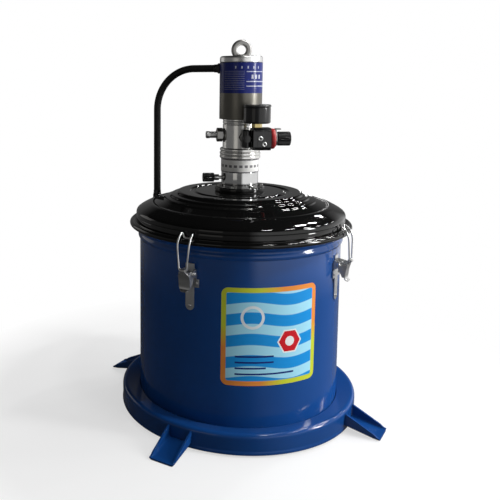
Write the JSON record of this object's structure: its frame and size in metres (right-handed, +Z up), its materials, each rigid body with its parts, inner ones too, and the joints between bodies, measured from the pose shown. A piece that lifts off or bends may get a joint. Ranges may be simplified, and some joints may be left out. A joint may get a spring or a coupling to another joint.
{
  "type": "pneumatic grease pump",
  "caption": "Air-driven grease pump on a blue steel drum: black clamped lid with wire latches, upright air motor, regulator with gauge, air hose, skirted base with splayed feet.",
  "frame": {"origin": "on the floor under the centre line of the drum", "axes": "+Z up along the drum and pump; -Y to the front, where the printed drum label is; +X to the right seen from the front"},
  "size_m": [0.414, 0.414, 0.6429],
  "materials": {
    "barrel_blue": "deep blue gloss enamel",
    "base_blue": "blue gloss enamel",
    "lid_black": "black gloss enamel",
    "band_white": "white printed band",
    "polished_steel": "polished",
    "machined_steel": "turned",
    "motor_steel": "drawn tube, bright",
    "label_blue": "printed film",
    "label_print": "printed film",
    "cast_silver": "satin",
    "bright_zinc": "bright zinc plate",
    "dull_zinc": "zinc plate",
    "brass": "bright",
    "gauge_black": "moulded",
    "body_black": "satin black",
    "red_ring": "moulded",
    "dial_white": "printed",
    "clear": "clear",
    "rubber": "smooth"
  },
  "bodies": {
    "root": {"base_skirt": "base_blue", "foot_brackets": "base_blue", "barrel_shell": "barrel_blue", "barrel_bottom": "barrel_blue", "barrel_top_band": "barrel_blue", "barrel_label": "label_print", "lid": "lid_black", "lid_gasket": "rubber", "latch_plates": "bright_zinc", "latch_pins": "bright_zinc", "lid_flange": "lid_black", "flange_gasket": "rubber", "flange_bolts": "dull_zinc", "pump_tube": "polished_steel", "collar_band": "band_white", "pump_body": "machined_steel", "motor_base": "machined_steel", "motor_cylinder": "motor_steel", "motor_label": "label_blue", "motor_cap": "cast_silver", "lifting_eye": "dull_zinc", "valve_block": "machined_steel", "rod_packing": "rubber", "suction_tube": "machined_steel", "foot_valve": "machined_steel", "outlet_nut": "dull_zinc", "outlet_nipple": "bright_zinc", "bleed_stem": "bright_zinc", "inlet_elbow": "body_black", "regulator_body": "body_black", "port_rings": "bright_zinc", "panel_ring": "red_ring", "bracket_plate": "dull_zinc", "gauge_stem": "brass", "gauge_case": "gauge_black", "gauge_dial": "dial_white", "gauge_glass": "clear", "hose_fitting_upper": "gauge_black", "hose": "rubber", "hose_fitting_lower": "gauge_black"},
    "lever_1": {"latch_lever_1": "bright_zinc"},
    "lever_2": {"latch_lever_2": "bright_zinc"},
    "lever_3": {"latch_lever_3": "bright_zinc"},
    "lever_4": {"latch_lever_4": "bright_zinc"},
    "bail_1": {"latch_bail_1": "bright_zinc"},
    "bail_2": {"latch_bail_2": "bright_zinc"},
    "bail_3": {"latch_bail_3": "bright_zinc"},
    "bail_4": {"latch_bail_4": "bright_zinc"},
    "regulator_knob": {"adjusting_knob": "gauge_black"},
    "needle": {"gauge_needle": "body_black"},
    "air_drive": {"air_piston": "machined_steel", "piston_seal": "rubber", "connecting_rod": "bright_zinc", "plunger": "machined_steel"},
    "ball": {"check_ball": "bright_zinc"},
    "spool": {"changeover_spool": "machined_steel"},
    "follower": {"follower_plate": "cast_silver", "follower_seal": "rubber"},
    "bleed_screw_cap": {"bleed_cap": "gauge_black"}
  },
  "joints": [
    {"name": "lever_1_turn", "type": "hinge", "parent": "root", "child": "lever_1", "pos_m": [-0.13011, -0.13011, 0.2755], "axis": [-0.7071, 0.7071, 0], "range_deg": [0, 64]},
    {"name": "bail_1_turn", "type": "hinge", "parent": "lever_1", "child": "bail_1", "pos_m": [-0.14107, -0.14107, 0.283], "axis": [-0.7071, 0.7071, 0], "range_deg": [-128, 0]},
    {"name": "lever_2_turn", "type": "hinge", "parent": "root", "child": "lever_2", "pos_m": [0.13011, -0.13011, 0.2755], "axis": [-0.7071, -0.7071, 0], "range_deg": [0, 64]},
    {"name": "bail_2_turn", "type": "hinge", "parent": "lever_2", "child": "bail_2", "pos_m": [0.14107, -0.14107, 0.283], "axis": [-0.7071, -0.7071, 0], "range_deg": [-128, 0]},
    {"name": "lever_3_turn", "type": "hinge", "parent": "root", "child": "lever_3", "pos_m": [0.13011, 0.13011, 0.2755], "axis": [0.7071, -0.7071, 0], "range_deg": [0, 64]},
    {"name": "bail_3_turn", "type": "hinge", "parent": "lever_3", "child": "bail_3", "pos_m": [0.14107, 0.14107, 0.283], "axis": [0.7071, -0.7071, 0], "range_deg": [-128, 0]},
    {"name": "lever_4_turn", "type": "hinge", "parent": "root", "child": "lever_4", "pos_m": [-0.13011, 0.13011, 0.2755], "axis": [0.7071, 0.7071, 0], "range_deg": [0, 64]},
    {"name": "bail_4_turn", "type": "hinge", "parent": "lever_4", "child": "bail_4", "pos_m": [-0.14107, 0.14107, 0.283], "axis": [0.7071, 0.7071, 0], "range_deg": [-128, 0]},
    {"name": "knob_turn", "type": "hinge", "parent": "root", "child": "regulator_knob", "pos_m": [0.03847, -0.06974, 0.4773], "axis": [0.9848, -0.1736, 0], "range_deg": [-150, 150]},
    {"name": "needle_turn", "type": "hinge", "parent": "root", "child": "needle", "pos_m": [0.00548, -0.06392, 0.5284], "axis": [0, 0, -1], "range_deg": [0, 270]},
    {"name": "air_drive_slide", "type": "slide", "parent": "root", "child": "air_drive", "axis": [0, 0, 1], "range_m": [0, 0.038]},
    {"name": "ball_lift", "type": "slide", "parent": "root", "child": "ball", "axis": [0, 0, 1], "range_m": [0, 0.0045]},
    {"name": "spool_slide", "type": "slide", "parent": "root", "child": "spool", "axis": [0.1736, 0.9848, 0], "range_m": [0, 0.006]},
    {"name": "follower_slide", "type": "slide", "parent": "root", "child": "follower", "axis": [0, 0, 1], "range_m": [-0.12, 0.1]},
    {"name": "bleed_turn", "type": "hinge", "parent": "root", "child": "bleed_screw_cap", "pos_m": [-0.05416, 0.00955, 0.4044], "axis": [-0.9848, 0.1736, 0], "range_deg": [0, 360]}
  ],
  "couplings": [
    {"joint": "bail_1_turn", "follows": "lever_1_turn", "ratio": -2},
    {"joint": "bail_2_turn", "follows": "lever_2_turn", "ratio": -2},
    {"joint": "bail_3_turn", "follows": "lever_3_turn", "ratio": -2},
    {"joint": "bail_4_turn", "follows": "lever_4_turn", "ratio": -2}
  ]
}
